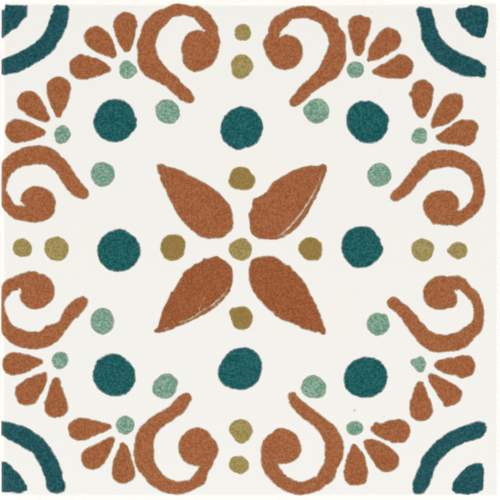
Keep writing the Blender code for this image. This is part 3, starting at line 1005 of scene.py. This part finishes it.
def glaze_finish():
    """Tin-white glaze: faint warm and cool clouds, fine curdling, and a few specks of iron."""
    finish = Finish("white_glaze", 0.3)
    clouds = finish.ramp(finish.noise(14, 2), 0.3, 0.7)
    colour = finish.mixed(clouds, fired(244, 242, 236), fired(246, 242, 235))
    curdle = finish.ramp(finish.noise(0.7, 2), 0.3, 0.7, 0.0, 0.4)
    colour = finish.mixed(curdle, colour, fired(243, 241, 234))
    for speck in IRON_SPECKS:
        colour = speck_at(finish, colour, *speck)
    finish.colour(colour)
    finish.bump(finish.noise(1.6, 2), 0.1, 0.05)
    return finish.material


def speck_at(finish, colour, x, y, radius, share):
    """A grey iron speck at this point of the ornament."""
    node = finish.nodes.new("ShaderNodeVectorMath")
    node.operation = "DISTANCE"
    finish.links.new(finish.place, node.inputs[0])
    node.inputs[1].default_value = on_face(x + STAR_X, y + STAR_Y)
    outer = (radius + SPECK_BLUR) * MM
    inner = (radius - SPECK_BLUR) * MM
    speck = finish.ramp(node.outputs["Value"], outer, inner, 0.0, share)
    return finish.mixed(speck, colour, fired(176, 173, 164))


def clay_finish():
    """Low-fired clay: buff to brick, grogged, dusty and quite rough."""
    finish = Finish("fired_clay", 0.85)
    clouds = finish.ramp(finish.noise(22, 3), 0.3, 0.7)
    grain = finish.ramp(finish.noise(0.5, 4), 0.3, 0.7)
    colour = finish.mixed(clouds, fired(196, 142, 110), fired(182, 122, 88))
    dark_grog = finish.spots(2.6, 0.15, 0.5)
    pale_grog = finish.spots(3.7, 0.2, 0.6)
    colour = finish.mixed(finish.math("MULTIPLY", grain, 0.45), colour, fired(214, 166, 134))
    colour = finish.mixed(finish.math("MULTIPLY", dark_grog, 0.6), colour, fired(132, 84, 62))
    colour = finish.mixed(finish.math("MULTIPLY", pale_grog, 0.5), colour, fired(232, 204, 178))
    finish.colour(colour)
    finish.bump(finish.noise(0.45, 4), 0.6, 0.12)
    return finish.material


def enamel_finish(name, mixes, darks, pales, rim, fringe, grain=0.45):
    """A painted colour: grainy where the brush dragged, thin and yellower towards its edges.

    Mixes, darks and pales each hold two colours, for a tint of 0 and of 1.
    """
    finish = Finish(name, 0.3, gloss=0.25)
    tint = finish.attribute("tint")
    colour = finish.mixed(tint, *mixes)
    dark = finish.mixed(tint, *darks)
    pale = finish.mixed(tint, *pales)
    patches = finish.noise(2.4, 2)
    colour = finish.mixed(finish.ramp(patches, 0.5, 0.3, 0.0, 0.3), colour, dark)
    colour = finish.mixed(finish.ramp(patches, 0.5, 0.7, 0.0, 0.3), colour, pale)
    grains = finish.noise(grain, 2)
    colour = finish.mixed(finish.ramp(grains, 0.5, 0.34), colour, dark)
    colour = finish.mixed(finish.ramp(grains, 0.5, 0.66), colour, pale)
    depth = finish.attribute("depth")
    ragged = finish.math("ADD", depth, finish.ramp(finish.noise(0.7, 2), 0.25, 0.75, -0.1, 0.1))
    edge = PAINT_BLEED  # the depth at the outline that the brush left
    colour = finish.mixed(finish.ramp(ragged, edge + 0.5, edge + 0.05), colour, rim)
    colour = finish.mixed(finish.ramp(ragged, edge + 0.12, edge - 0.25), colour, fringe)
    colour = finish.mixed(finish.ramp(ragged, edge + 0.3, edge - 0.32), colour, GLAZE_WHITE)
    finish.colour(colour)
    finish.bump(finish.noise(0.9, 2), 0.15, 0.04)
    return finish.material


# The body pieces

GLAZE_CELLS = 104
GLAZE_ROLL_RINGS = 6
GLAZE_DROP = 3.35  # how far down the side the glaze runs, on the whole

# The glaze's beaded foot: the share of the way down, and how far it stands out there; then the
# way back up inside the tile, where it isn't seen
GLAZE_BEAD = (
    (0.25, 0.0), (0.5, 0.0), (0.72, 0.01), (0.86, 0.05), (0.94, 0.07), (0.98, 0.05), (1.0, -0.02),
)
GLAZE_INSIDE = ((0.99, -BISCUIT_INSET - 0.1), (0.5, -BISCUIT_INSET - 0.3), (0.0, -BISCUIT_INSET - 0.3))

CLAY_CELLS = 170
CLAY_ROLL_RINGS = 4
CLAY_RISES = (0.4, 0.9, 1.5, 2.2, 3.0, 4.0)
CLAY_TOP = 5.3  # the clay ends this far up, behind the glaze
CLAY_INSET = 0.05  # how far in the clay's sides stand at their foot


def glaze_coat():
    """The glaze: the whole face, the rolled edges, and the sides down to a wandering line."""
    sheet = Sheet(GLAZE_CELLS, FACE_ROLL)
    side = FACE_ROLL * math.pi / 2
    rings = [(side * step / GLAZE_ROLL_RINGS, 0.0) for step in range(1, GLAZE_ROLL_RINGS + 1)]
    line = GLAZE_DROP + layered(*sheet.ring(0), GLAZE_LINE)
    rings += [(side + line * share, lift) for share, lift in GLAZE_BEAD + GLAZE_INSIDE]
    return closed_sheet(
        "glaze_coat", sheet, on_face, 0.0, rings, glaze_finish(), flip=False
    )


def clay_biscuit():
    """The fired clay: its rough back and the foot of its sides show below the glaze."""
    sheet = Sheet(CLAY_CELLS, BACK_ARRIS + SIDE_DRAFT)
    waves = 0.05 * np.minimum(lumps(sheet.u, sheet.v, 12, seed=43), 0)
    drag = 0.035 * np.minimum(lumps(sheet.u * 0.12, sheet.v, 1.3, seed=41), 0)
    pits = 0.22 * smoothstep(0.62, 0.95, lumps(sheet.u, sheet.v, 1.7, seed=42))
    relief = waves + drag - pits
    foot = BACK_ARRIS * math.pi / 2
    rings = [(foot * step / CLAY_ROLL_RINGS, 0.0) for step in range(1, CLAY_ROLL_RINGS + 1)]
    u, v = sheet.ring(0)
    for rise in CLAY_RISES:
        rough = np.minimum(0.05 * lumps(u * 1.7 + rise, v * 1.7, 1.5, seed=44), 0)
        drawn_in = CLAY_INSET + (BISCUIT_INSET - CLAY_INSET) * min(rise, 1)
        rings.append((foot + rise, rough - drawn_in))
    rings.append((foot + CLAY_TOP, -BISCUIT_INSET - 0.1))
    return closed_sheet(
        "clay_biscuit", sheet, on_back, relief, rings, clay_finish(), flip=True
    )


def build_tile():
    for piece in (clay_biscuit(), glaze_coat()):
        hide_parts("tile")


def build_ornament():
    rust = enamel_finish(
        "rust_enamel",
        (fired(153, 89, 55), fired(163, 99, 64)),
        (fired(139, 77, 44), fired(146, 86, 51)),
        (fired(163, 101, 66), fired(174, 113, 77)),
        rim=fired(155, 113, 68),
        fringe=fired(158, 134, 48),
    )
    teal = enamel_finish(
        "teal_enamel",
        (fired(39, 84, 90), fired(36, 92, 93)),
        (fired(23, 70, 76), fired(19, 75, 78)),
        (fired(49, 99, 102), fired(49, 108, 107)),
        rim=fired(46, 99, 95),
        fringe=fired(40, 104, 94),
    )
    mint = enamel_finish(
        "mint_enamel",
        (fired(122, 158, 135), fired(124, 160, 137)),
        (fired(92, 136, 116), fired(92, 136, 116)),
        (fired(156, 184, 162), fired(156, 184, 162)),
        rim=fired(136, 154, 126),
        fringe=fired(138, 158, 124),
        grain=0.4,
    )
    olive = enamel_finish(
        "olive_enamel",
        (fired(161, 146, 92), fired(149, 121, 68)),
        (fired(143, 121, 64), fired(142, 113, 60)),
        (fired(175, 158, 108), fired(156, 131, 79)),
        rim=fired(158, 140, 68),
        fringe=fired(164, 145, 24),
        grain=0.4,
    )
    painted("rust_scrolls", SCROLLS, rust, tint=1.0)
    painted("rust_leaves", LEAVES, rust)
    painted("rust_petals", PETALS, rust, tint=0.8)
    painted("teal_corners", CORNER_ARCS + CORNER_DISCS, teal, tint=0.0)
    painted("teal_dots", TEAL_DOTS, teal, tint=1.0)
    painted("mint_dots", MINT_DOTS, mint, proud=0.05)
    painted("olive_dots", OLIVE_DOTS, olive, proud=0.05)


# The studio

FRAME_WIDTH = 105.25 * MM  # what the photograph shows, at the height of the face
LENS = 200
SENSOR = 36
AIM = Vector((-0.05 * MM, 0.0, THICKNESS * MM))
FLOOR_REACH = 2.0
FLOOR_GAP = 0.05 * MM  # keeps the floor clear of the tile's flat back
FLOOR_PAINTED_GLOW = 0.25  # painted light: the floor glows so that the tile's shadow beside it is lifted and stays white
HORIZON_GLOW = 1.55
ZENITH_GLOW = 0.04
DIM_FROM = 0.25  # heights of the sky, of 1, between which it grows dim
DIM_TO = 0.95


def lay_floor():
    mesh = bpy.data.meshes.new("floor")
    corners = [(-FLOOR_REACH, -FLOOR_REACH), (FLOOR_REACH, -FLOOR_REACH)]
    corners += [(FLOOR_REACH, FLOOR_REACH), (-FLOOR_REACH, FLOOR_REACH)]
    mesh.from_pydata([(x, y, 0.0) for x, y in corners], [], [(0, 1, 2, 3)])
    finish = Finish("studio_floor", 0.9)
    paper = finish.ramp(finish.noise(3, 3), 0.3, 0.7)
    finish.colour(finish.mixed(paper, fired(250, 250, 247), fired(252, 252, 249)))
    # Painted light: the floor glows, lifting the tile's contact shadow so the floor beside it stays white
    finish.shader.inputs["Emission Color"].default_value = (1.0, 1.0, 0.98, 1.0)
    finish.shader.inputs["Emission Strength"].default_value = FLOOR_PAINTED_GLOW
    mesh.materials.append(finish.material)
    floor = bpy.data.objects.new("floor", mesh)
    floor.location.z = -FLOOR_GAP
    bpy.context.scene.collection.objects.link(floor)


def soft_light(name, azimuth, elevation, distance, width, power, colour=(1.0, 1.0, 1.0)):
    """A square soft box that looks at the tile from this direction."""
    data = bpy.data.lights.new(name, "AREA")
    data.shape = "SQUARE"
    data.size = width
    data.energy = power
    data.color = colour
    light = bpy.data.objects.new(name, data)
    turn = math.radians(azimuth)
    rise = math.radians(elevation)
    level = math.cos(rise)
    towards = Vector((math.sin(turn) * level, -math.cos(turn) * level, math.sin(rise)))
    light.location = AIM + towards * distance
    light.rotation_euler = towards.to_track_quat("Z", "Y").to_euler()
    bpy.context.scene.collection.objects.link(light)


def surround():
    """A studio sky that is dark straight overhead, so that the face shows no glare."""
    world = bpy.data.worlds.new("studio")
    world.use_nodes = True
    nodes = world.node_tree.nodes
    links = world.node_tree.links
    place = nodes.new("ShaderNodeTexCoord")
    split = nodes.new("ShaderNodeSeparateXYZ")
    shade = nodes.new("ShaderNodeMapRange")
    shade.interpolation_type = "SMOOTHSTEP"
    shade.inputs["From Min"].default_value = DIM_FROM
    shade.inputs["From Max"].default_value = DIM_TO
    shade.inputs["To Min"].default_value = HORIZON_GLOW
    shade.inputs["To Max"].default_value = ZENITH_GLOW
    links.new(place.outputs["Generated"], split.inputs["Vector"])
    links.new(split.outputs["Z"], shade.inputs["Value"])
    links.new(shade.outputs["Result"], nodes["Background"].inputs["Strength"])
    nodes["Background"].inputs["Color"].default_value = (1.0, 1.0, 1.0, 1.0)
    bpy.context.scene.world = world


def set_camera():
    data = bpy.data.cameras.new("camera")
    data.lens = LENS
    data.sensor_width = SENSOR
    data.clip_start = 0.01
    data.clip_end = 20
    camera = bpy.data.objects.new("camera", data)
    camera.location = AIM + Vector((0, 0, FRAME_WIDTH * LENS / SENSOR))
    bpy.context.scene.collection.objects.link(camera)
    bpy.context.scene.camera = camera


def set_studio():
    lay_floor()
    surround()
    cool = (0.97, 1.0, 1.04)
    soft_light("key", azimuth=0, elevation=45, distance=0.8, width=0.5, power=2.6, colour=cool)
    soft_light("left", azimuth=-120, elevation=32, distance=1.1, width=0.6, power=3.5)
    soft_light("right", azimuth=120, elevation=32, distance=1.1, width=0.6, power=3.5)
    bpy.context.scene.view_settings.view_transform = "Standard"
    set_camera()


build_tile()
build_ornament()
set_studio()
